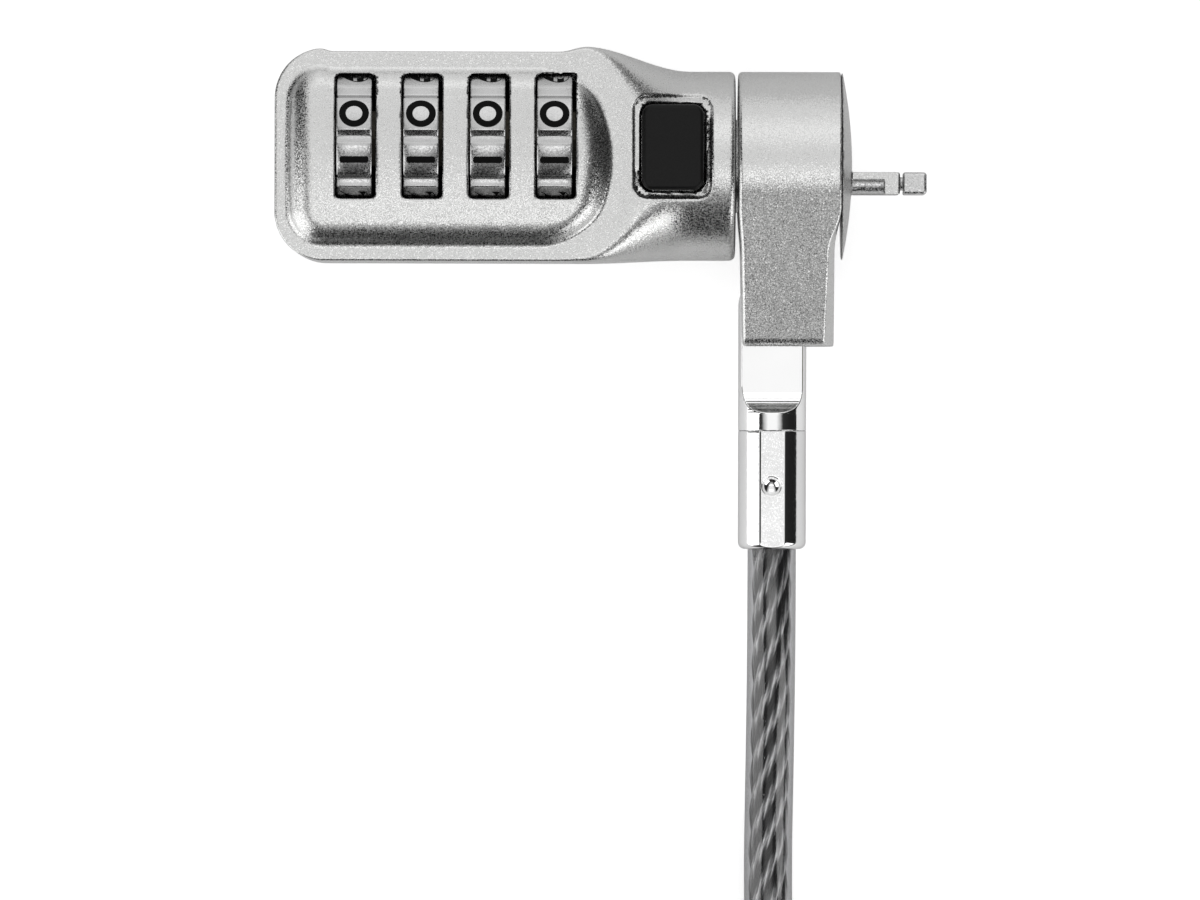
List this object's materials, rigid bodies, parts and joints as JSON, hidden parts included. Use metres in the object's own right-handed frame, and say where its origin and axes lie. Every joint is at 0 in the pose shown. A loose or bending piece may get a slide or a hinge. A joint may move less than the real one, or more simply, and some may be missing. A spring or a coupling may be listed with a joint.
{
  "type": "laptop cable lock",
  "caption": "Combination cable lock: boxy metal head with dials and a push button, swivel collar, T-bar tip, folding fitting and coiled wire cable with an end eye.",
  "frame": {"origin": "middle of the back cover's flat face, on which the lock rests", "axes": "+X from the dial end to the locking tip, +Y across the head away from the leg that holds the cable, +Z from the flat back to the dials"},
  "size_m": [0.0937, 0.1836, 0.0304],
  "materials": {
    "pearl_nickel": "satin pearl nickel",
    "polished_chrome": "polished",
    "black_button": "matte",
    "inner_steel": "plain",
    "inner_brass": "plain",
    "inner_plastic": "matte",
    "jacket": "smoky clear jacket over wire rope"
  },
  "bodies": {
    "lock_head": {"front_housing": "pearl_nickel", "back_cover": "pearl_nickel", "cover_screws": "inner_steel", "dial_saddle": "inner_plastic", "click_spring": "inner_steel", "click_screws": "inner_steel", "spindle_spring": "inner_steel", "button_spring": "inner_steel", "nose": "pearl_nickel", "nose_pin": "inner_steel"},
    "dial_1": {"dial_1": "polished_chrome", "dial_sleeve_1": "inner_brass"},
    "dial_2": {"dial_2": "polished_chrome", "dial_sleeve_2": "inner_brass"},
    "dial_3": {"dial_3": "polished_chrome", "dial_sleeve_3": "inner_brass"},
    "dial_4": {"dial_4": "polished_chrome", "dial_sleeve_4": "inner_brass"},
    "spindle": {"spindle": "inner_steel"},
    "reset_screw": {"reset_screw": "inner_steel"},
    "button": {"button_cap": "black_button", "button_slider": "inner_plastic"},
    "t_bar": {"t_bar": "inner_steel", "t_bar_crank": "inner_steel"},
    "collar": {"collar": "pearl_nickel", "pivot_pin": "inner_steel"},
    "cable_end": {"cable_fitting": "polished_chrome", "ferrule": "polished_chrome", "cable_lead": "jacket", "cable_coil": "jacket", "cable_tail": "jacket", "loop_sleeve": "polished_chrome"}
  },
  "joints": [
    {"name": "dial_1_turn", "type": "hinge", "parent": "lock_head", "child": "dial_1", "pos_m": [-0.0111, 0.002, 0.0157], "axis": [1, 0, 0], "continuous": true},
    {"name": "dial_2_turn", "type": "hinge", "parent": "lock_head", "child": "dial_2", "pos_m": [-0.0037, 0.002, 0.0157], "axis": [1, 0, 0], "continuous": true},
    {"name": "dial_3_turn", "type": "hinge", "parent": "lock_head", "child": "dial_3", "pos_m": [0.0037, 0.002, 0.0157], "axis": [1, 0, 0], "continuous": true},
    {"name": "dial_4_turn", "type": "hinge", "parent": "lock_head", "child": "dial_4", "pos_m": [0.0111, 0.002, 0.0157], "axis": [1, 0, 0], "continuous": true},
    {"name": "button_press", "type": "slide", "parent": "lock_head", "child": "button", "axis": [0, 0, -1], "range_m": [0, 0.0022], "stiffness_N_per_m": 1200, "springref_m": -0.001, "deforming": ["button_spring"]},
    {"name": "t_bar_turn", "type": "hinge", "parent": "lock_head", "child": "t_bar", "pos_m": [0, -0.0029, 0.0106], "axis": [-1, 0, 0], "range_deg": [0, 90]},
    {"name": "spindle_slide", "type": "slide", "parent": "lock_head", "child": "spindle", "axis": [1, 0, 0], "range_m": [0, 0.0022], "deforming": ["spindle_spring"]},
    {"name": "reset_turn", "type": "hinge", "parent": "lock_head", "child": "reset_screw", "pos_m": [-0.0201, 0.002, 0.0157], "axis": [-1, 0, 0], "range_deg": [0, 90]},
    {"name": "collar_swivel", "type": "hinge", "parent": "lock_head", "child": "collar", "pos_m": [0, -0.001, 0.0106], "axis": [1, 0, 0], "continuous": true},
    {"name": "cable_pivot", "type": "hinge", "parent": "collar", "child": "cable_end", "pos_m": [0.0353, -0.0167, 0.0106], "axis": [0, 0, -1], "range_deg": [0, 80]}
  ],
  "couplings": [
    {"joint": "t_bar_turn", "follows": "button_press", "rad_per_m": 713.99},
    {"joint": "spindle_slide", "follows": "button_press", "ratio": 1}
  ]
}
